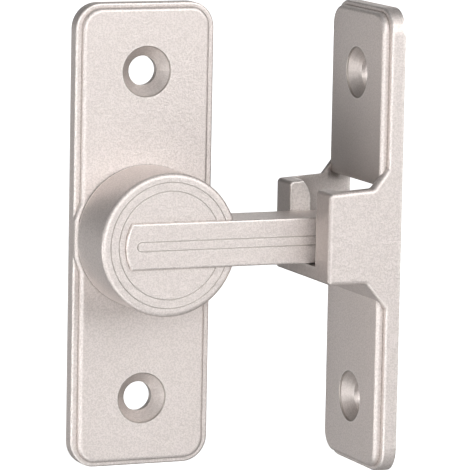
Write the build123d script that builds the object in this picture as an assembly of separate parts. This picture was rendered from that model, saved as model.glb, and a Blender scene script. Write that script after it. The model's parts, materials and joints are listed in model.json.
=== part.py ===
from build123d import *
import math
import os

# Door latch for a sliding door that closes against a wall at right angles: a lock plate
# with a turning knob and arm, and a keeper plate whose open-topped catch takes the arm.
# Millimetres. The origin is where the knob's axis meets the lock plate's back face.
# +Z is up, the front faces -Y, and the keeper stands at +X. A height above the lock
# plate's back face is measured towards -Y and is called a level.

# Both plates: a rim all round and a panel one step higher.
plate_height = 80.0
lock_width = 25.2
plate_corner = 4.5
lock_rim = 2.4
lock_step = 0.9
keeper_rim = 2.5
keeper_step = 1.2
side_rim = 1.1
end_rim = 0.85
rim_round = 0.4
panel_round = 0.7

# Countersunk holes for flat-head screws, two in each plate.
screw_pitch = 56.4
screw_hole = 5.1
sink_diameter = 8.6
sink_step = 0.3
sink_angle = 90.0
sink_round = 0.15

# Knob.
knob_radius = 12.3
knob_height = 12.1
knob_round = 0.8
knob_wall = 2.2
knob_face = 2.6
knob_gap = 0.3
collar_ledge = 0.7
collar_overlap = 0.4
collar_blend = 1.5
ring_radii = (10.75, 9.25)
groove_width = 0.2
groove_depth = 0.12

# Arm, one piece with the knob.
arm_height = 7.95
arm_depth = 8.9
arm_reach = 34.65
arm_proud = 0.55
arm_round = 0.35
arm_heel_radius = 8.1
inlay_start = 6.15
inlay_width = 1.56
inlay_tip_margin = 3.0

# Pivot, hidden between the knob and the lock plate's back.
spindle_radius = 4.0
spindle_play = 0.05
hub_radius = 7.5
hub_height = 3.6
recess_radius = 6.0
hub_web = 2.4
shoulder_radius = 6.0
axial_play = 0.05
thrust_radius = 7.0
thrust_thickness = 0.5
washer_play = 0.3
spring_radius = 5.8
spring_thickness = 0.4
spring_cone = 0.35
flat_washer_radius = 5.6
flat_washer_thickness = 0.8
screw_radius = 2.0
thread_gap = 0.02
screw_length = 9.0
head_radius = 3.8
head_height = 2.2
cross_width = 4.2
cross_slot = 0.9
cross_depth = 1.3
cross_taper = 12.0

# Catch on the keeper: a hollow box, open at the top and through the plate. Its end wall
# is slotted for the arm, which leaves a jamb on each side.
catch_reach = 9.7
front_jamb = 5.95
rear_jamb = 6.5
front_side_gap = 1.7
rear_side_gap = 0.5
sill_thickness = 2.5
sill_gap = 0.3
tip_gap = 0.42
catch_wall = 1.85
end_wall = 3.85
end_wall_bend = 3.3
end_wall_bend_radius = 4.6
top_over_arm_end = 4.95
top_over_arm_root = 5.5
brace_top_run = 1.55
brace_top_angle = 52.0
brace_foot_run = 2.6
brace_foot_angle = 50.0
window_over_arm = 5.85
catch_round = 0.75
catch_rear_round = 1.2
catch_lip_round = 0.75
brace_round = 0.8
slot_round = 0.4

# The collar shows all round the knob and reaches a little past the plate's sides.
collar_radius = max(knob_radius + collar_ledge, lock_width / 2 + collar_overlap)

# Levels above the lock plate's back face.
panel_level = lock_rim + lock_step
hub_level = panel_level + hub_height
recess_level = hub_level - hub_web
knob_back_level = panel_level + knob_gap
knob_face_level = panel_level + knob_height
arm_face_level = knob_face_level + arm_proud
arm_back_level = arm_face_level - arm_depth
thrust_level = hub_level + thrust_thickness
shoulder_level = thrust_level + axial_play
washer_level = recess_level - spring_thickness - spring_cone - axial_play
head_level = washer_level - flat_washer_thickness

# Keeper, placed by the arm that it takes.
arm_top = arm_height / 2
tip_radius = math.hypot(arm_reach, arm_top)
keeper_level = keeper_rim + keeper_step
keeper_face_x = tip_radius + tip_gap
keeper_rim_x = keeper_face_x + keeper_step
keeper_back_x = keeper_rim_x + keeper_rim
slot_width = front_side_gap + arm_depth + rear_side_gap
keeper_width = front_jamb + slot_width + rear_jamb
slot_front_y = -(arm_face_level + front_side_gap)
slot_rear_y = slot_front_y + slot_width
keeper_front_y = slot_front_y - front_jamb
keeper_rear_y = keeper_front_y + keeper_width
keeper_y = (keeper_front_y + keeper_rear_y) / 2
catch_end_x = keeper_face_x - catch_reach
end_top_z = arm_top + top_over_arm_end
root_top_z = arm_top + top_over_arm_root
sill_z = -arm_top - sill_gap
catch_bottom_z = sill_z - sill_thickness
window_top_z = arm_top + window_over_arm
open_top_z = window_top_z + plate_height / 2


def lock_plane(level):
    """Plane parallel to the lock plate, at a level in front of its back face."""
    return Plane(origin=(0, -level, 0), x_dir=(1, 0, 0), z_dir=(0, -1, 0))


def keeper_plane(level):
    """Plane parallel to the keeper plate, at a level in front of its back face."""
    return Plane(
        origin=(keeper_back_x - level, keeper_y, 0), x_dir=(0, -1, 0), z_dir=(-1, 0, 0)
    )


def disc(level, radius, thickness):
    """Cylinder about the knob's axis, from a level towards the front."""
    return extrude(lock_plane(level) * Circle(radius), thickness)


def rounded_front(solid, plane, radius):
    """Round the outer edges of a solid's front face, which lies in the given plane."""
    face = solid.faces().sort_by(Axis(plane.origin, plane.z_dir))[-1]
    return fillet(face.outer_wire().edges(), radius)


def stepped_plate(plane_at, width, rim_level, panel_level, panel_outline):
    """Rim and raised panel, each with a rounded front edge."""
    outline = RectangleRounded(width, plate_height, plate_corner)
    rim = extrude(plane_at(0) * outline, rim_level)
    panel = extrude(plane_at(0) * (panel_outline & outline), panel_level)
    rim = rounded_front(rim, plane_at(0), rim_round)
    panel = rounded_front(panel, plane_at(0), panel_round)
    return rim + panel


def panel_rectangle(width):
    """Outline of the raised panel inside the rim."""
    return RectangleRounded(
        width - 2 * side_rim, plate_height - 2 * end_rim, plate_corner - side_rim
    )


def screw_cuts(plane_at, face_level):
    """Two holes, one above the other: a short straight mouth, a cone, then the bore."""
    hole = screw_hole / 2
    mouth = sink_diameter / 2
    depth = sink_step + (mouth - hole) / math.tan(math.radians(sink_angle / 2))
    profile = make_face(
        Plane.XZ
        * Polyline(
            (0, 1),
            (0, -face_level - 1),
            (hole, -face_level - 1),
            (hole, -depth),
            (mouth, -sink_step),
            (mouth, 0),
            (mouth + 1, 0),
            (mouth + 1, 1),
            close=True,
        )
    )
    lip = profile.vertices().sort_by_distance((mouth, 0, 0))[0]
    cut = revolve(fillet(lip, sink_round), Axis.Z)
    places = Locations((0, screw_pitch / 2), (0, -screw_pitch / 2)).locations
    return [plane_at(face_level) * place * cut for place in places]


def lock_plate():
    """Plate with a round collar under the knob, and the hollow hub that carries it."""
    outline = panel_rectangle(lock_width) + Circle(collar_radius)
    panel_side = lock_width / 2 - side_rim
    waist = outline.vertices().filter_by(
        lambda v: abs(abs(v.X) - panel_side) < 0.01 and abs(v.Y) < collar_radius
    )
    outline = fillet(waist, collar_blend)
    plate = stepped_plate(lock_plane, lock_width, lock_rim, panel_level, outline)
    plate += disc(0, hub_radius, hub_level)
    plate -= disc(0, recess_radius, recess_level)
    plate -= disc(0, spindle_radius + spindle_play, hub_level + 1)
    for cut in screw_cuts(lock_plane, panel_level):
        plate -= cut
    return plate


def arm_outline():
    """Bar from the heel, an arc about the knob's axis, to the square tip."""
    length = arm_heel_radius + arm_reach
    bar = Pos((arm_reach - arm_heel_radius) / 2, 0) * Rectangle(length, arm_height)
    ahead = Pos(length / 2, 0) * Rectangle(length, arm_height)
    return bar & (Circle(arm_heel_radius) + ahead)


def groove(outer, inner, level):
    """Shallow groove between two outlines, cut into the face at the given level."""
    return extrude(lock_plane(level - groove_depth) * (outer - inner), groove_depth + 1)


def inlay_groove():
    """Long groove with round ends along the middle of the arm's face."""
    length = inlay_start + arm_reach - inlay_tip_margin
    middle = (arm_reach - inlay_tip_margin - inlay_start) / 2
    outer = inlay_width + groove_width
    inner = inlay_width - groove_width
    return groove(
        Pos(middle, 0) * SlotOverall(length + groove_width, outer),
        Pos(middle, 0) * SlotOverall(length - groove_width, inner),
        arm_face_level,
    )


def turn_knob():
    """Hollow drum, arm and spindle in one casting."""
    drum = disc(knob_back_level, knob_radius, knob_face_level - knob_back_level)
    drum = rounded_front(drum, lock_plane(0), knob_round)
    for radius in ring_radii:
        outer = Circle(radius + groove_width / 2)
        inner = Circle(radius - groove_width / 2)
        drum -= groove(outer, inner, knob_face_level)
    ceiling = knob_face_level - knob_face
    hollow = disc(knob_back_level - 1, knob_radius - knob_wall, ceiling - knob_back_level + 1)
    boss = disc(shoulder_level, shoulder_radius, ceiling - shoulder_level)
    arm = extrude(lock_plane(arm_back_level) * arm_outline(), arm_depth)
    free = arm.edges().filter_by(lambda e: e.center().X > 0 or e.center().Y < -knob_face_level)
    arm = fillet(free, arm_round)
    arm -= inlay_groove()
    hub_room = disc(0, knob_radius - knob_wall, shoulder_level)
    knob = drum - hollow + boss + arm - hub_room
    knob += disc(washer_level, spindle_radius, shoulder_level - washer_level)
    bottom = head_level + screw_length + screw_radius
    knob -= disc(washer_level - 1, screw_radius + thread_gap, bottom - washer_level + 1)
    return knob


def ring(level, radius, bore, thickness):
    """Plain washer about the knob's axis."""
    return disc(level, radius, thickness) - disc(level - 1, bore, thickness + 2)


def thrust_washer():
    """Low-friction washer between the hub and the knob's shoulder."""
    return ring(hub_level, thrust_radius, spindle_radius + washer_play, thrust_thickness)


def disc_spring():
    """Coned washer: its rim bears on the hub's web and its bore on the flat washer."""
    inner = spindle_radius + washer_play
    low = washer_level + axial_play
    profile = Plane.XY * Polyline(
        (inner, -low),
        (inner, -low - spring_thickness),
        (spring_radius, -recess_level),
        (spring_radius, -recess_level + spring_thickness),
        close=True,
    )
    return revolve(make_face(profile), Axis.Y)


def flat_washer():
    """Washer clamped between the screw's head and the spindle's end."""
    bore = screw_radius + thread_gap
    return ring(head_level, flat_washer_radius, bore, flat_washer_thickness)


def pivot_screw():
    """Pan-head screw with a cross recess, driven into the spindle from the back."""
    head = disc(head_level - head_height, head_radius, head_height)
    rim = head.edges().filter_by(GeomType.CIRCLE).sort_by(Axis.Y)[-1]
    head = fillet(rim, head_height * 0.45)
    bar = Rectangle(cross_width, cross_slot) + Rectangle(cross_slot, cross_width)
    cross = extrude(
        lock_plane(head_level - head_height) * bar, cross_depth, taper=cross_taper
    )
    return head + disc(head_level, screw_radius, screw_length) - cross


def catch_profile():
    """Side view of the catch with its braces, reaching back to the keeper's rear face."""
    brace_top_x = keeper_face_x - brace_top_run
    brace_foot_x = keeper_face_x - brace_foot_run
    top_rise = math.tan(math.radians(brace_top_angle)) * (keeper_rim_x - brace_top_x)
    foot_fall = math.tan(math.radians(brace_foot_angle)) * (keeper_rim_x - brace_foot_x)
    profile = make_face(
        Polyline(
            (catch_end_x, catch_bottom_z),
            (catch_end_x, end_top_z),
            (brace_top_x, root_top_z),
            (keeper_rim_x, root_top_z + top_rise),
            (keeper_back_x, root_top_z + top_rise),
            (keeper_back_x, catch_bottom_z - foot_fall),
            (keeper_rim_x, catch_bottom_z - foot_fall),
            (brace_foot_x, catch_bottom_z),
            close=True,
        )
    )
    rounds = {
        (catch_end_x, catch_bottom_z): catch_lip_round,
        (catch_end_x, end_top_z): catch_round,
        (brace_top_x, root_top_z): brace_round,
        (brace_foot_x, catch_bottom_z): brace_round,
    }
    for (x, z), radius in rounds.items():
        profile = fillet(profile.vertices().sort_by_distance((x, z, 0))[0], radius)
    return profile


def catch_block():
    """Catch before it is hollowed, as wide as the keeper plate."""
    block = extrude(lock_plane(-keeper_rear_y) * catch_profile(), keeper_width, dir=(0, -1, 0))
    for side_y, radius in ((keeper_front_y, catch_round), (keeper_rear_y, catch_rear_round)):
        block = fillet(
            block.edges().filter_by(
                lambda e: e.center().X < keeper_rim_x - 0.01 and abs(e.center().Y - side_y) < 0.01
            ),
            radius,
        )
    return block


def span_box(x0, x1, y0, y1, z0, z1):
    """Box between two corners."""
    size = Box(x1 - x0, y1 - y0, z1 - z0)
    return Pos((x0 + x1) / 2, (y0 + y1) / 2, (z0 + z1) / 2) * size


def catch_hollow():
    """Room behind the end wall, which bends away from it towards the open top."""
    wall_x = catch_end_x + end_wall
    bend_z = end_top_z - end_wall_bend

    def bend(drop):
        lean = math.sqrt(end_wall_bend_radius**2 - drop**2)
        return (wall_x - end_wall_bend_radius + lean, bend_z + drop)

    room = make_face(
        Polyline(
            bend(end_wall_bend),
            (bend(end_wall_bend)[0], open_top_z),
            (keeper_face_x, open_top_z),
            (keeper_face_x, catch_bottom_z + catch_wall),
            (wall_x, catch_bottom_z + catch_wall),
            bend(0),
        )
        + ThreePointArc(bend(0), bend(end_wall_bend / 2), bend(end_wall_bend))
    )
    rear = keeper_rear_y - catch_wall
    depth = keeper_width - 2 * catch_wall
    return extrude(lock_plane(-rear) * room, depth, dir=(0, -1, 0))


def catch():
    """Box with its slot and its hollow, open at the top."""
    block = catch_block()
    block -= span_box(
        catch_end_x - 1, keeper_face_x, slot_front_y, slot_rear_y, sill_z, open_top_z
    )
    for side_y in (slot_front_y, slot_rear_y):
        mouth = block.edges().filter_by(
            lambda e: abs(e.center().Y - side_y) < 0.01
            and e.center().X < keeper_face_x - 0.01
            and e.center().Z > sill_z + 0.01
        )
        block = fillet(mouth, slot_round)
    return block - catch_hollow()


def keeper():
    """Plate and catch, with the window that opens the hollow through the plate."""
    outline = panel_rectangle(keeper_width)
    plate = stepped_plate(keeper_plane, keeper_width, keeper_rim, keeper_level, outline)
    body = plate + catch()
    body -= span_box(
        keeper_face_x - 1,
        keeper_back_x + 1,
        keeper_front_y + catch_wall,
        keeper_rear_y - catch_wall,
        catch_bottom_z + catch_wall,
        window_top_z,
    )
    for cut in screw_cuts(keeper_plane, keeper_level):
        body -= cut
    return body


pieces = {
    "lock_plate": lock_plate,
    "turn_knob": turn_knob,
    "thrust_washer": thrust_washer,
    "disc_spring": disc_spring,
    "flat_washer": flat_washer,
    "pivot_screw": pivot_screw,
    "keeper": keeper,
}

os.makedirs("parts", exist_ok=True)
for name, make in pieces.items():
    export_step(make(), f"parts/{name}.step")
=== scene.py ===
"""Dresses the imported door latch: satin nickel castings, the pivot's washers and screw, and a
plain pale stage."""

import json
import math

import bpy
from bpy.props import FloatProperty, FloatVectorProperty, PointerProperty
from mathutils import Matrix, Vector


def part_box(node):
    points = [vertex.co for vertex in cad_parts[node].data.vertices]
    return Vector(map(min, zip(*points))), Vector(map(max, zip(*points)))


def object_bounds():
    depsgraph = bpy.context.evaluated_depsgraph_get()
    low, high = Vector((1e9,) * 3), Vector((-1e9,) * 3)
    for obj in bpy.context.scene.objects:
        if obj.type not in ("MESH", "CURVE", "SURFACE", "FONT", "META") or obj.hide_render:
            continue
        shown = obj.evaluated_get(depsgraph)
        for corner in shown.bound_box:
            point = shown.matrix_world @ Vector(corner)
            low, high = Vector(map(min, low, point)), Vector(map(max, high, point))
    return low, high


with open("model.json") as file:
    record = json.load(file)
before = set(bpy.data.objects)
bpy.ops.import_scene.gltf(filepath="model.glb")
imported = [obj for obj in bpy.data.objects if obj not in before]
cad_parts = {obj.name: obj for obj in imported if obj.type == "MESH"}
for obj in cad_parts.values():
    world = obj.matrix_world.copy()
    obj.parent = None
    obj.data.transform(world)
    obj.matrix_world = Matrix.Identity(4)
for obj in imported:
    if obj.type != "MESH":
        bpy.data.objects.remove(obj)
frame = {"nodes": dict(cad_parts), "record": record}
cad_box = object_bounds()

bl_info = {
    "name": "Door Latch Finish",
    "version": (1, 0, 0),
    "blender": (4, 5, 0),
    "location": "View3D > Sidebar > Latch",
    "description": "Satin nickel castings, pivot pieces and a pale stage for a door latch",
    "category": "Object",
}

# Places read from the frame, in metres. The front faces -Y, and the keeper stands at +X.
MOUNTS = {mount["name"]: mount for mount in frame["record"]["mounts"]}
SCREW_Z = MOUNTS["lock_screws"]["dims"]["spacing_y_mm"] / 2000
FLOOR_Z = cad_box[0].z
ARM_FACE_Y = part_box("turn_knob")[0].y
ARM_TIP_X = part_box("turn_knob")[1].x
KEEPER_LOW, KEEPER_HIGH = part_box("keeper")
KEEPER_MIDDLE_Y = (KEEPER_LOW.y + KEEPER_HIGH.y) / 2

# Sizes of the castings that the masks follow, in metres. The inlay is the arm's long groove.
SINK_RADIUS = 0.0043
RING_RADII = (0.01075, 0.00925)
ARM_PROUD = 0.00055
ARM_DEPTH = 0.0089
INLAY_RADIUS = 0.00078
INLAY_START = 0.00615
INLAY_TIP_MARGIN = 0.0030
SLOT_REAR_GAP = 0.0005
END_WALL = 0.00385
KEEPER_RIM = 0.0025
KEEPER_STEP = 0.0012
CATCH_TOP_Z = 0.0095
CATCH_FOOT_Z = -0.0068

# Places that follow from them.
DRUM_FACE_Y = ARM_FACE_Y + ARM_PROUD
INLAY_START_X = INLAY_RADIUS - INLAY_START
INLAY_END_X = ARM_TIP_X - INLAY_TIP_MARGIN - INLAY_RADIUS
SLOT_REAR_Y = ARM_FACE_Y + ARM_DEPTH + SLOT_REAR_GAP
CATCH_END_X = KEEPER_LOW.x
END_WALL_X = CATCH_END_X + END_WALL
KEEPER_RIM_X = KEEPER_HIGH.x - KEEPER_RIM
PANEL_X = KEEPER_RIM_X - KEEPER_STEP
MOUTH_RING_RADIUS = SINK_RADIUS + 0.00006

# Where the masks begin and end: each pair gives where a mask is 0 and where it is 1. A SIDE is
# a distance to either side of a line, and a TOP or DEPTH is a distance below a face.
LOCK_BACK = (-0.0009, -0.0005)
KEEPER_BACK = (KEEPER_HIGH.x - 0.0010, KEEPER_HIGH.x - 0.0005)
# Where the keeper's painted shade lies: in the catch's hollow, on the panel above the catch and on
# the catch's end faces.
IN_CATCH_X = (CATCH_END_X + 0.0034, CATCH_END_X + 0.0044)
OVER_FOOT_Z = (CATCH_FOOT_Z - 0.0007, CATCH_FOOT_Z + 0.0003)
UNDER_TOP_Z = (CATCH_TOP_Z + 0.0015, CATCH_TOP_Z - 0.0005)
PAST_PANEL_X = (PANEL_X - 0.0008, PANEL_X - 0.0003)
BEFORE_RIM_X = (KEEPER_RIM_X + 0.0007, KEEPER_RIM_X - 0.0001)
INSIDE_RIM_Y = (KEEPER_LOW.y + 0.0012, KEEPER_LOW.y + 0.0020)
PANEL_FADE_Z = (0.036, 0.008)
OVER_CATCH_Z = (CATCH_TOP_Z - 0.0015, CATCH_TOP_Z)
END_FACE_X = (CATCH_END_X + 0.0007, CATCH_END_X + 0.0001)
# Where the light painted on the slot's rear side lies.
SLOT_SIDE = (0.00030, 0.00010)
IN_END_WALL_X = (END_WALL_X + 0.00025, END_WALL_X - 0.00025)
GROOVE_SIDE = (0.00016, 0.00008)
GROOVE_TOP = (0.00001, 0.00005)
RING_DEPTH = (0.00065, 0.00045)
INLAY_DEPTH = (0.00030, 0.00020)
SINK_MOUTH = (SINK_RADIUS + 0.00012, SINK_RADIUS + 0.00004)
MOUTH_RING_SIDE = (0.00013, 0.00005)

# Likewise for noise and for how open the surface is: the value where a mask is 0 and where 1.
GAP_TONE = (0.57, 0.43)
# These three set the painted shade in corners, the painted highlight on edges and the painted
# shade in the catch's hollow.
CORNER_OPEN = (0.80, 0.50)
EDGE_OPEN = (0.97, 0.78)
HOLLOW_OPEN = (0.97, 0.42)

# Widths of the slower patterns, as multiples of the finer ones that the settings give.
PIT_GRAINS = 1.7
TINT_SWELLS = 1.6
CLOUD_SWELLS = 9.0

# How strongly each cause changes the coat's tone, from 0 to 1.
GAP_SHADE = 0.24
CLOUD_SHADE = 0.08
# Painted shade in sharp inner corners.
CORNER_SHADE = 0.60
GROOVE_SHADE = 0.50
# Painted shade in the catch's hollow, on the panel above the catch and on the catch's end faces.
HOLLOW_SHADE = 0.85
PANEL_SHADE = 0.62
END_SHADE = 0.5
MOUTH_RING_SHADE = 0.75
SINK_SHADE = 0.06
SINK_RING_SHADE = 0.40
# Painted highlight along outer edges, and painted light on the slot's rear side.
EDGE_HIGHLIGHT = 0.6
SLOT_LIGHT = 0.6

# Share of the wider pits in the coat's tone and in its relief; the rest is the grain.
PIT_TONE = 0.35
PIT_HEIGHT = 0.45

# How much the coat's roughness varies, and how much smoother it is on edges and in countersinks.
ROUGH_SPREAD = 0.22
EDGE_POLISH = 0.14
SINK_POLISH = 0.03

# In a countersink: how far the coat's relief goes down, and the height of the turned rings.
SINK_LEVELLING = 0.7
SINK_RING_HEIGHT = 0.5

# Depths of the relief, in metres.
WAVE_DEPTH = 0.00006
GRAIN_DEPTH = 0.00008
FAINT_DEPTH = 0.00001

# Widths of the other patterns, in metres.
SINK_RING = 0.00016
LATHE_RING = 0.00012
STEEL_STAIN = 0.0012
PLASTIC_GRAIN = 0.0003
PLASTIC_CLOUD = 0.004
CLOTH_WEAVE = 0.0006
PAPER_CLOUD = 0.05

# Softboxes: where each one stands, the length of its side, and its brightness.
SOFTBOXES = {
    "front_box": ((0.62, -0.98, 0.58), 1.15, 2.35),
    "key_box": ((0.10, -1.05, 0.58), 0.40, 2.0),
    "side_box": ((-0.52, -0.96, 0.20), 0.34, 10.4),
    "back_box": ((-0.50, 0.85, -0.20), 0.50, 0.60),
    "rear_box": ((0.50, 1.00, 0.34), 0.60, 1.0),
    "left_box": ((-1.00, -0.12, -0.24), 0.35, 7.5),
    "floor_box": ((-0.22, -0.42, -0.48), 0.45, 2.2),
}

# Black card to the right: its place, and how far it reaches in depth and in height.
CARD_X = 0.35
CARD_Y = (-0.12, 0.45)
CARD_Z = (-0.35, 0.35)

# Light of the room: the Y of a direction where it starts and stops to fall, and from what to what.
ROOM_Y = (-0.5, 0.6)
ROOM_LIGHT = (0.36, 0.15)

# Half the side of the floor and of the backdrop, in metres.
PAPER_REACH = 1.6


# Settings


class LatchFinish(bpy.types.PropertyGroup):
    """Look of the three castings."""

    nickel: FloatVectorProperty(
        name="Nickel",
        description="Colour of the satin nickel coat",
        subtype="COLOR",
        default=(0.80, 0.735, 0.715),
        min=0.0,
        max=1.0,
    )
    nickel_warm: FloatVectorProperty(
        name="Warm nickel",
        description="Slightly yellower tone of the coat, in soft patches",
        subtype="COLOR",
        default=(0.795, 0.735, 0.70),
        min=0.0,
        max=1.0,
    )
    # Tone of the painted shade in the catch's hollow, above the catch and on its end faces.
    nickel_painted_shade: FloatVectorProperty(
        name="Painted shade",
        description="Brown-grey tone of the painted shade inside the catch and next to it",
        subtype="COLOR",
        default=(0.21, 0.18, 0.165),
        min=0.0,
        max=1.0,
    )
    # Tone of the painted highlight on outer edges and of the painted light on the slot's rear
    # side.
    nickel_highlight: FloatVectorProperty(
        name="Painted highlight",
        description="Brighter tone of the painted highlight on outer edges and of the painted light on the slot's rear side",
        subtype="COLOR",
        default=(0.96, 0.91, 0.875),
        min=0.0,
        max=1.0,
    )
    # This tone is also the painted shade in sharp inner corners.
    nickel_deep: FloatVectorProperty(
        name="Nickel in hollows",
        description="Darker, browner tone between the grains and in the fine grooves",
        subtype="COLOR",
        default=(0.36, 0.32, 0.29),
        min=0.0,
        max=1.0,
    )
    grain: FloatProperty(
        name="Grain",
        description="Width of the fine sand grains of the coat",
        subtype="DISTANCE",
        unit="LENGTH",
        default=0.00028,
        min=0.00005,
        max=0.002,
        precision=5,
    )
    swell: FloatProperty(
        name="Swell",
        description="Width of the slow waves that a cast face keeps under its coat",
        subtype="DISTANCE",
        unit="LENGTH",
        default=0.0016,
        min=0.0003,
        max=0.02,
        precision=5,
    )
    # Reach of the painted shade in sharp inner corners.
    corner: FloatProperty(
        name="Corner",
        description="How far the painted shade spreads out of a sharp inner corner",
        subtype="DISTANCE",
        unit="LENGTH",
        default=0.00045,
        min=0.0001,
        max=0.01,
        precision=5,
    )
    # Reach of the painted shade in the catch's hollow.
    hollow_shade_reach: FloatProperty(
        name="Hollow shade reach",
        description="How far the painted shade reaches out of the hollow in the catch",
        subtype="DISTANCE",
        unit="LENGTH",
        default=0.012,
        min=0.001,
        max=0.05,
        precision=4,
    )
    # Width of the painted highlight along outer edges; the band is also smoother.
    edge: FloatProperty(
        name="Edge",
        description="Width of the smoother band along outer edges that carries a painted highlight",
        subtype="DISTANCE",
        unit="LENGTH",
        default=0.0006,
        min=0.0001,
        max=0.01,
        precision=5,
    )
    roughness: FloatProperty(
        name="Roughness",
        description="Blur of the coat's reflections",
        subtype="FACTOR",
        default=0.56,
        min=0.05,
        max=1.0,
    )


class LatchPivot(bpy.types.PropertyGroup):
    """Look of the small pieces behind the knob."""

    zinc: FloatVectorProperty(
        name="Zinc plate",
        description="Colour of the screw and the flat washer",
        subtype="COLOR",
        default=(0.62, 0.63, 0.65),
        min=0.0,
        max=1.0,
    )
    spring: FloatVectorProperty(
        name="Spring steel",
        description="Colour of the coned spring washer",
        subtype="COLOR",
        default=(0.30, 0.29, 0.28),
        min=0.0,
        max=1.0,
    )
    plastic: FloatVectorProperty(
        name="White plastic",
        description="Colour of the low-friction washer",
        subtype="COLOR",
        default=(0.80, 0.80, 0.77),
        min=0.0,
        max=1.0,
    )


class LatchStage(bpy.types.PropertyGroup):
    """Camera and paper."""

    azimuth: FloatProperty(
        name="Azimuth",
        description="How far the camera stands round to the left of the lock plate's front",
        subtype="ANGLE",
        unit="ROTATION",
        default=math.radians(22.7),
    )
    elevation: FloatProperty(
        name="Elevation",
        description="How far the camera looks down",
        subtype="ANGLE",
        unit="ROTATION",
        default=math.radians(8.12),
    )
    roll: FloatProperty(
        name="Roll",
        description="Tilt of the picture about the line of sight",
        subtype="ANGLE",
        unit="ROTATION",
        default=math.radians(1.09),
    )
    distance: FloatProperty(
        name="Distance",
        description="From the camera to the point that it looks at",
        subtype="DISTANCE",
        unit="LENGTH",
        default=0.728,
        min=0.1,
    )
    aim: FloatVectorProperty(
        name="Aim",
        description="The point in the middle of the picture",
        subtype="TRANSLATION",
        unit="LENGTH",
        default=(0.01485, -0.0080, 0.00023),
    )
    lens: FloatProperty(
        name="Lens",
        description="Focal length on a 36 mm sensor, in millimetres",
        subtype="DISTANCE_CAMERA",
        unit="CAMERA",
        default=325.3,
        min=10.0,
    )
    paper: FloatVectorProperty(
        name="Paper",
        description="Colour of the seamless paper under and behind the latch",
        subtype="COLOR",
        default=(0.93, 0.93, 0.93),
        min=0.0,
        max=1.0,
    )
    glow: FloatProperty(
        name="Glow",
        description="Extra light given off by the paper, so that it reads white",
        default=0.90,
        min=0.0,
    )


# Shader maths


class Field:
    """A node socket that takes part in Python arithmetic: each operator adds one Math node."""

    def __init__(self, paint, socket):
        self.paint = paint
        self.socket = socket

    def _math(self, operation, first, second=None):
        inputs = {0: first} if second is None else {0: first, 1: second}
        return self.paint.add("ShaderNodeMath", {"operation": operation}, inputs)

    def __add__(self, other):
        return self._math("ADD", self, other)

    def __radd__(self, other):
        return self._math("ADD", other, self)

    def __sub__(self, other):
        return self._math("SUBTRACT", self, other)

    def __rsub__(self, other):
        return self._math("SUBTRACT", other, self)

    def __mul__(self, other):
        return self._math("MULTIPLY", self, other)

    def __rmul__(self, other):
        return self._math("MULTIPLY", other, self)

    def __pow__(self, other):
        return self._math("POWER", self, other)

    def __abs__(self):
        return self._math("ABSOLUTE", self)


class Paint:
    """Node tree of one material."""

    def __init__(self, name):
        self.material = bpy.data.materials.new(name)
        self.material.use_nodes = True
        self.tree = self.material.node_tree
        self.tree.nodes.clear()
        self.surface = self.tree.nodes.new("ShaderNodeBsdfPrincipled")
        output = self.tree.nodes.new("ShaderNodeOutputMaterial")
        self.tree.links.new(self.surface.outputs["BSDF"], output.inputs["Surface"])
        self.place = self.add("ShaderNodeTexCoord", output="Object")

    def add(self, kind, settings=None, inputs=None, output=0):
        """A node of any kind: its settings first, then the values or links of its sockets."""
        node = self.tree.nodes.new(kind)
        for key, value in (settings or {}).items():
            setattr(node, key, value)
        for key, value in (inputs or {}).items():
            self.feed(node.inputs[key], value)
        return Field(self, node.outputs[output])

    def feed(self, socket, value):
        """Link a field to a socket, or set the socket's own value."""
        if isinstance(value, Field):
            self.tree.links.new(value.socket, socket)
        elif isinstance(value, (tuple, list)) and len(value) == 3 and socket.type == "RGBA":
            socket.default_value = (*value, 1.0)
        else:
            socket.default_value = value

    def set(self, **values):
        """Set or link sockets of the surface shader, named with underscores for spaces."""
        for key, value in values.items():
            self.feed(self.surface.inputs[key.replace("_", " ")], value)

    def noise(self, width, detail=2.0, roughness=0.5, where=None):
        """Noise whose features are about the given width in metres, from 0 to 1."""
        return self.add(
            "ShaderNodeTexNoise",
            inputs={
                "Vector": where or self.place,
                "Scale": 1.0 / width,
                "Detail": detail,
                "Roughness": roughness,
            },
        )

    def step(self, value, none, full):
        """Smooth step: 0 at none and beyond it, 1 at full, whichever of the two is larger."""
        settings = {"interpolation_type": "SMOOTHSTEP"}
        return self.add("ShaderNodeMapRange", settings, {0: value, 1: none, 2: full})

    def near(self, distance, none, full):
        """The same step of a distance that may be counted to either side."""
        return self.step(abs(distance), none, full)

    def blend(self, factor, first, second):
        """Mix of two colours."""
        settings = {"data_type": "RGBA"}
        inputs = {"Factor": factor, 6: first, 7: second}
        return self.add("ShaderNodeMix", settings, inputs, output=2)

    def axis(self, name):
        """One coordinate of the object's own frame, in metres."""
        return self.add("ShaderNodeSeparateXYZ", inputs={0: self.place}, output=name)

    def crevice(self, reach, **settings):
        """How open the surface is within reach, in metres: 1 on a flat face, 0.5 in a square
        inner corner. With inside=True it looks into the metal instead, and finds outer edges."""
        settings = {"samples": 12, **settings}
        return self.add("ShaderNodeAmbientOcclusion", settings, {"Distance": reach}, output="AO")

    def bump(self, height, distance, under=None):
        """Normal bent by a height field; distance is the depth in metres at height 1."""
        inputs = {"Height": height, "Distance": distance, "Strength": 1.0}
        if under is not None:
            inputs["Normal"] = under
        return self.add("ShaderNodeBump", inputs=inputs)


# Materials


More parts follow.
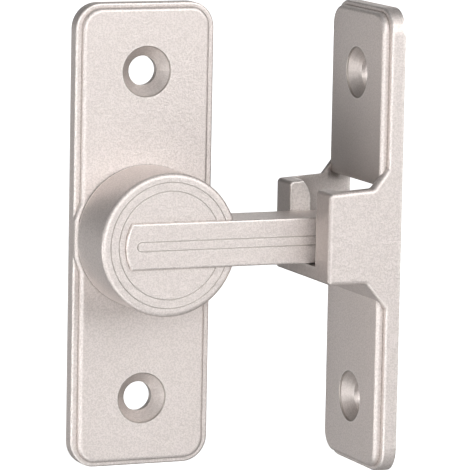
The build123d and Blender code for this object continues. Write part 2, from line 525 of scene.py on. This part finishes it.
def satin_nickel(look, name, grooves=None, holes=None, hollow=None, painted_light=None):
    """Nickel over a sanded casting: fine bright grains, slow waves, painted shade in hollows.

    The darker tone lies between the grains; painted shade darkens sharp inner corners, and a
    painted highlight brightens the smoother outer edges. The last four are functions that take
    the paint: grooves gives a mask of the fine grooves, holes the distance from the nearest
    screw's axis, painted_light a mask of where light is painted on, and hollow, which takes the
    painted shade's reach too, a mask of painted shade."""
    deep = tuple(look.nickel_deep)
    paint = Paint(name)
    grain = paint.noise(look.grain, detail=2.0, roughness=0.6)
    pits = paint.noise(look.grain * PIT_GRAINS, detail=3.0, roughness=0.65)
    swell = paint.noise(look.swell, detail=2.0)
    cloud = paint.noise(look.swell * CLOUD_SWELLS, detail=2.0)
    tint = paint.noise(look.swell * TINT_SWELLS, detail=2.0)
    gaps = paint.step(grain * (1.0 - PIT_TONE) + pits * PIT_TONE, *GAP_TONE)
    # Painted shade: the coat darkens in sharp inner corners, as far as the surface is closed in.
    corner = paint.step(paint.crevice(look.corner), *CORNER_OPEN)
    # Painted highlight: the coat is brightened along outer edges, which are also made smoother.
    edge = paint.step(paint.crevice(look.edge, inside=True), *EDGE_OPEN)
    # The darker tone: grain gaps and cloud, plus the painted shade of the corners.
    shade = gaps * GAP_SHADE + (cloud - 0.5) * CLOUD_SHADE + corner * CORNER_SHADE
    if grooves is not None:
        cut = grooves(paint)
        shade = shade * (1.0 - cut) + cut * GROOVE_SHADE
    # Painted highlight on the edges, plus the light painted on the slot's rear side.
    painted_light_tone = edge * EDGE_HIGHLIGHT
    # Painted light on the slot's rear side.
    if painted_light is not None:
        painted_light_tone = painted_light_tone + painted_light(paint) * SLOT_LIGHT
    colour = paint.blend(tint, tuple(look.nickel), tuple(look.nickel_warm))
    colour = paint.blend(painted_light_tone, colour, tuple(look.nickel_highlight))
    colour = paint.blend(shade, colour, deep)
    # Painted shade: the catch's hollow, the panel above the catch and the catch's end faces darken
    # to a brown-grey.
    if hollow is not None:
        painted_hollow_shade = hollow(paint, look.hollow_shade_reach) * HOLLOW_SHADE
        colour = paint.blend(painted_hollow_shade, colour, tuple(look.nickel_painted_shade))
    roughness = look.roughness + (pits - 0.5) * ROUGH_SPREAD - edge * EDGE_POLISH
    height = grain * (1.0 - PIT_HEIGHT) + pits * PIT_HEIGHT
    if holes is not None:
        colour, roughness, height = turned_sinks(paint, holes, deep, colour, roughness, height)
    wave = paint.bump(swell, WAVE_DEPTH)
    paint.set(
        Base_Color=colour,
        Metallic=0.92,
        Roughness=roughness,
        Normal=paint.bump(height, GRAIN_DEPTH, under=wave),
    )
    return paint.material


def turned_sinks(paint, holes, deep, colour, roughness, height):
    """The coat with its countersinks, which are cut after the casting: they are a little
    greyer and smoother, with turned rings inside and a dark ring round the mouth."""
    radius = holes(paint)
    cut = paint.step(radius, *SINK_MOUTH)
    mouth_ring = paint.near(radius - MOUTH_RING_RADIUS, *MOUTH_RING_SIDE)
    turned = paint.add("ShaderNodeCombineXYZ", inputs={0: radius})
    rings = paint.noise(SINK_RING, detail=1.0, where=turned)
    colour = paint.blend(cut * (SINK_SHADE + rings * SINK_RING_SHADE), colour, deep)
    colour = paint.blend(mouth_ring * MOUTH_RING_SHADE, colour, deep)
    height = height * (1.0 - cut * SINK_LEVELLING) + rings * cut * SINK_RING_HEIGHT
    return colour, roughness - cut * SINK_POLISH, height


def lock_holes(paint):
    """Distance from the nearer of the lock plate's two screw axes, which run along Y. At the
    plate's back it is far, so that the back stays plain."""
    x, z = paint.axis("X"), abs(paint.axis("Z")) - SCREW_Z
    return (x * x + z * z) ** 0.5 + paint.step(paint.axis("Y"), *LOCK_BACK)


def keeper_holes(paint):
    """Distance from the nearer of the keeper's two screw axes, which run along X. At the
    plate's back it is far, so that the back stays plain."""
    y, z = paint.axis("Y") - KEEPER_MIDDLE_Y, abs(paint.axis("Z")) - SCREW_Z
    return (y * y + z * z) ** 0.5 + paint.step(paint.axis("X"), *KEEPER_BACK)


def catch_painted_shade(paint, reach):
    """Mask of the keeper's painted shade: the hollow, the panel above the catch, and the
    catch's end faces. On the panel the painted shade fades out upwards."""
    x, y, z = (paint.axis(name) for name in "XYZ")
    hollow = paint.step(paint.crevice(reach, only_local=True), *HOLLOW_OPEN)
    for value, places in ((x, IN_CATCH_X), (z, OVER_FOOT_Z), (z, UNDER_TOP_Z)):
        hollow = hollow * paint.step(value, *places)
    panel = paint.step(x, *PAST_PANEL_X) * paint.step(x, *BEFORE_RIM_X)
    for value, places in ((y, INSIDE_RIM_Y), (z, PANEL_FADE_Z), (z, OVER_CATCH_Z)):
        panel = panel * paint.step(value, *places)
    return hollow + panel * PANEL_SHADE + paint.step(x, *END_FACE_X) * END_SHADE


def slot_painted_light(paint):
    """Mask of the slot's rear side, where light is painted on to brighten it."""
    x, y = paint.axis("X"), paint.axis("Y")
    return paint.near(y - SLOT_REAR_Y, *SLOT_SIDE) * paint.step(x, *IN_END_WALL_X)


def under_face(paint, y, face, depth):
    """Mask of what lies a little below a face that looks towards -Y, down to a depth."""
    top = paint.step(y, *(face + drop for drop in GROOVE_TOP))
    return top * paint.step(y, *(face + drop for drop in depth))


def knob_grooves(paint):
    """Mask of the two rings on the drum's face and of the long groove on the arm's face.

    A point is in a ring where its distance from the knob's axis is near the ring's radius, and
    in the long groove where its distance from the arm's middle line is near half the groove's
    width. Only what lies a little below the face counts."""
    x, y, z = (paint.axis(name) for name in "XYZ")
    radius = (x * x + z * z) ** 0.5
    outer, inner = (paint.near(radius - ring, *GROOVE_SIDE) for ring in RING_RADII)
    run = paint.add("ShaderNodeClamp", inputs={0: x, 1: INLAY_START_X, 2: INLAY_END_X})
    along = x - run
    away = (along * along + z * z) ** 0.5
    inlay = paint.near(away - INLAY_RADIUS, *GROOVE_SIDE)
    on_drum = under_face(paint, y, DRUM_FACE_Y, RING_DEPTH)
    on_arm = under_face(paint, y, ARM_FACE_Y, INLAY_DEPTH)
    return (outer + inner) * on_drum + inlay * on_arm


def plated_steel(colour, name, roughness=0.32):
    """Bright plated steel with faint turned rings about the knob's axis."""
    paint = Paint(name)
    x, z = paint.axis("X"), paint.axis("Z")
    turned = paint.add("ShaderNodeCombineXYZ", inputs={0: (x * x + z * z) ** 0.5})
    rings = paint.noise(LATHE_RING, detail=1.0, where=turned)
    stain = paint.noise(STEEL_STAIN, detail=3.0)
    deep = tuple(part * 0.72 for part in colour)
    paint.set(
        Base_Color=paint.blend(stain * 0.7, tuple(colour), deep),
        Metallic=0.95,
        Roughness=roughness + (stain - 0.5) * 0.2,
        Normal=paint.bump(rings, FAINT_DEPTH),
    )
    return paint.material


def white_plastic(colour):
    """Matt moulded plastic with a fine even texture."""
    paint = Paint("white_plastic")
    fine = paint.noise(PLASTIC_GRAIN, detail=2.0)
    tone = paint.noise(PLASTIC_CLOUD, detail=1.0)
    deep = tuple(part * 0.9 for part in colour)
    paint.set(
        Base_Color=paint.blend(tone, tuple(colour), deep),
        Roughness=0.5 + (fine - 0.5) * 0.2,
        Normal=paint.bump(fine, FAINT_DEPTH),
    )
    return paint.material


def black_cloth():
    """Matt black cloth with a faint weave."""
    paint = Paint("black_cloth")
    weave = paint.noise(CLOTH_WEAVE, detail=1.0)
    tone = paint.blend(weave, (0.02, 0.02, 0.02), (0.05, 0.05, 0.05))
    paint.set(Base_Color=tone, Roughness=0.95)
    return paint.material


def pale_paper(look, name):
    """Matt paper, slightly clouded, that gives off some light of its own."""
    paint = Paint(name)
    tone = paint.noise(PAPER_CLOUD, detail=2.0)
    paler = tuple(min(1.0, part * 1.03) for part in look.paper)
    paint.set(
        Base_Color=paint.blend(tone, tuple(look.paper), paler),
        Roughness=0.9,
        Emission_Color=(1.0, 1.0, 1.0),
        Emission_Strength=look.glow,
    )
    return paint.material


def dress(node, material):
    """Give a CAD node one material, through its object's slots."""
    for slot in frame["nodes"][node].material_slots:
        slot.link = "OBJECT"
        slot.material = material


# Stage


def flat_sheet(name, corners, material):
    """Flat four-cornered sheet of the stage."""
    mesh = bpy.data.meshes.new(name)
    mesh.from_pydata(corners, [], [tuple(range(len(corners)))])
    mesh.materials.append(material)
    sheet = bpy.data.objects.new(name, mesh)
    bpy.context.scene.collection.objects.link(sheet)
    return sheet


def softbox(name, place, target, size, brightness):
    """Square area light that faces a point; its power is brightness times pi times its area."""
    light = bpy.data.lights.new(name, "AREA")
    light.shape = "SQUARE"
    light.size = size
    light.energy = brightness * math.pi * size * size
    lamp = bpy.data.objects.new(name, light)
    turn = (Vector(place) - Vector(target)).to_track_quat("Z", "Y")
    lamp.matrix_world = Matrix.Translation(place) @ turn.to_matrix().to_4x4()
    bpy.context.scene.collection.objects.link(lamp)


def dim_room():
    """World whose light falls from the front of the latch towards its back."""
    world = bpy.data.worlds.new("room")
    world.use_nodes = True
    tree = world.node_tree
    air = tree.nodes["Background"]
    sight = tree.nodes.new("ShaderNodeTexCoord")
    split = tree.nodes.new("ShaderNodeSeparateXYZ")
    fall = tree.nodes.new("ShaderNodeMapRange")
    fall.interpolation_type = "SMOOTHSTEP"
    for socket, value in enumerate((*ROOM_Y, *ROOM_LIGHT), start=1):
        fall.inputs[socket].default_value = value
    tree.links.new(sight.outputs["Generated"], split.inputs[0])
    tree.links.new(split.outputs["Y"], fall.inputs[0])
    tree.links.new(fall.outputs[0], air.inputs["Strength"])
    air.inputs["Color"].default_value = (1.0, 1.0, 1.0, 1.0)
    return world


# Operators


class LATCH_OT_castings(bpy.types.Operator):
    """Coat the lock plate, the knob with its arm, and the keeper in satin nickel"""

    bl_idname = "latch.castings"
    bl_label = "Castings"

    def execute(self, context):
        look = context.scene.latch_finish
        plate = satin_nickel(look, "lock_plate_nickel", holes=lock_holes)
        keeper = satin_nickel(
            look, "keeper_nickel", holes=keeper_holes, hollow=catch_painted_shade, painted_light=slot_painted_light
        )
        knob = satin_nickel(look, "knob_nickel", grooves=knob_grooves)
        dress("lock_plate", plate)
        dress("keeper", keeper)
        dress("turn_knob", knob)
        return {"FINISHED"}


class LATCH_OT_pivot(bpy.types.Operator):
    """Finish the screw, washers and spring behind the knob"""

    bl_idname = "latch.pivot"
    bl_label = "Pivot pieces"

    def execute(self, context):
        look = context.scene.latch_pivot
        zinc = plated_steel(look.zinc, "zinc_steel")
        dress("pivot_screw", zinc)
        dress("flat_washer", zinc)
        dress("disc_spring", plated_steel(look.spring, "spring_steel", roughness=0.42))
        dress("thrust_washer", white_plastic(look.plastic))
        return {"FINISHED"}


class LATCH_OT_stage(bpy.types.Operator):
    """Set the pale paper, the soft lights and the camera"""

    bl_idname = "latch.stage"
    bl_label = "Stage"

    def execute(self, context):
        look = context.scene.latch_stage
        self.floor(look)
        self.light(context.scene, look)
        self.camera(context.scene, look)
        return {"FINISHED"}

    def floor(self, look):
        """Pale floor and backdrop that only the camera sees, so that the metal reflects the
        dimmer room, and so that the fill light shines up through the floor."""
        wide = PAPER_REACH
        square = [(-wide, -wide), (wide, -wide), (wide, wide), (-wide, wide)]
        sheets = {
            "floor": [(x, y, FLOOR_Z) for x, y in square],
            "backdrop": [(x, wide, FLOOR_Z + wide + z) for x, z in square],
        }
        for name, corners in sheets.items():
            paper = flat_sheet(name, corners, pale_paper(look, "pale_paper_" + name))
            paper.visible_glossy = paper.visible_diffuse = paper.visible_shadow = False

    def light(self, scene, look):
        """Softboxes all round, a black card that darkens what the metal reflects on the right,
        and a dim room."""
        for name, (place, size, brightness) in SOFTBOXES.items():
            softbox(name, place, look.aim, size, brightness)
        (near, far), (low, high) = CARD_Y, CARD_Z
        corners = [(CARD_X, y, z) for y, z in ((near, low), (far, low), (far, high), (near, high))]
        card = flat_sheet("right_flag", corners, black_cloth())
        card.visible_camera = False
        scene.world = dim_room()
        scene.view_settings.view_transform = "Standard"

    def camera(self, scene, look):
        """Stand back from the aim point along the line of sight, then roll about it."""
        back = Vector(
            (
                -math.sin(look.azimuth) * math.cos(look.elevation),
                -math.cos(look.azimuth) * math.cos(look.elevation),
                math.sin(look.elevation),
            )
        )
        right = Vector((0.0, 0.0, 1.0)).cross(back).normalized()
        up = back.cross(right)
        turn = Matrix.Rotation(look.roll, 3, back)
        right, up = turn @ right, turn @ up
        eye = bpy.data.objects.new("camera", bpy.data.cameras.new("camera"))
        eye.data.sensor_width = 36.0
        eye.data.lens = look.lens
        eye.data.clip_start, eye.data.clip_end = 0.01, 10.0
        place = Matrix((right, up, back)).transposed().to_4x4()
        place.translation = Vector(look.aim) + back * look.distance
        eye.matrix_world = place
        scene.collection.objects.link(eye)
        bpy.context.scene.camera = eye


class LATCH_PT_panel(bpy.types.Panel):
    """Buttons and settings of the latch"""

    bl_idname = "LATCH_PT_panel"
    bl_label = "Door latch"
    bl_space_type = "VIEW_3D"
    bl_region_type = "UI"
    bl_category = "Latch"

    def draw(self, context):
        for group in ("latch_finish", "latch_pivot", "latch_stage"):
            box = self.layout.box()
            settings = getattr(context.scene, group)
            for name in settings.__annotations__:
                box.prop(settings, name)
        for operator in ("latch.castings", "latch.pivot", "latch.stage"):
            self.layout.operator(operator)


CLASSES = (
    LatchFinish,
    LatchPivot,
    LatchStage,
    LATCH_OT_castings,
    LATCH_OT_pivot,
    LATCH_OT_stage,
    LATCH_PT_panel,
)


def register():
    """Make the settings, the operators and the panel known to Blender."""
    for item in CLASSES:
        bpy.utils.register_class(item)
    bpy.types.Scene.latch_finish = PointerProperty(type=LatchFinish)
    bpy.types.Scene.latch_pivot = PointerProperty(type=LatchPivot)
    bpy.types.Scene.latch_stage = PointerProperty(type=LatchStage)


def unregister():
    """Take them away again."""
    del bpy.types.Scene.latch_stage
    del bpy.types.Scene.latch_pivot
    del bpy.types.Scene.latch_finish
    for item in reversed(CLASSES):
        bpy.utils.unregister_class(item)


def main():
    """Set the stage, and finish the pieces."""
    register()
    bpy.ops.latch.stage()
    bpy.ops.latch.castings()
    bpy.ops.latch.pivot()


if __name__ == "__main__":
    main()
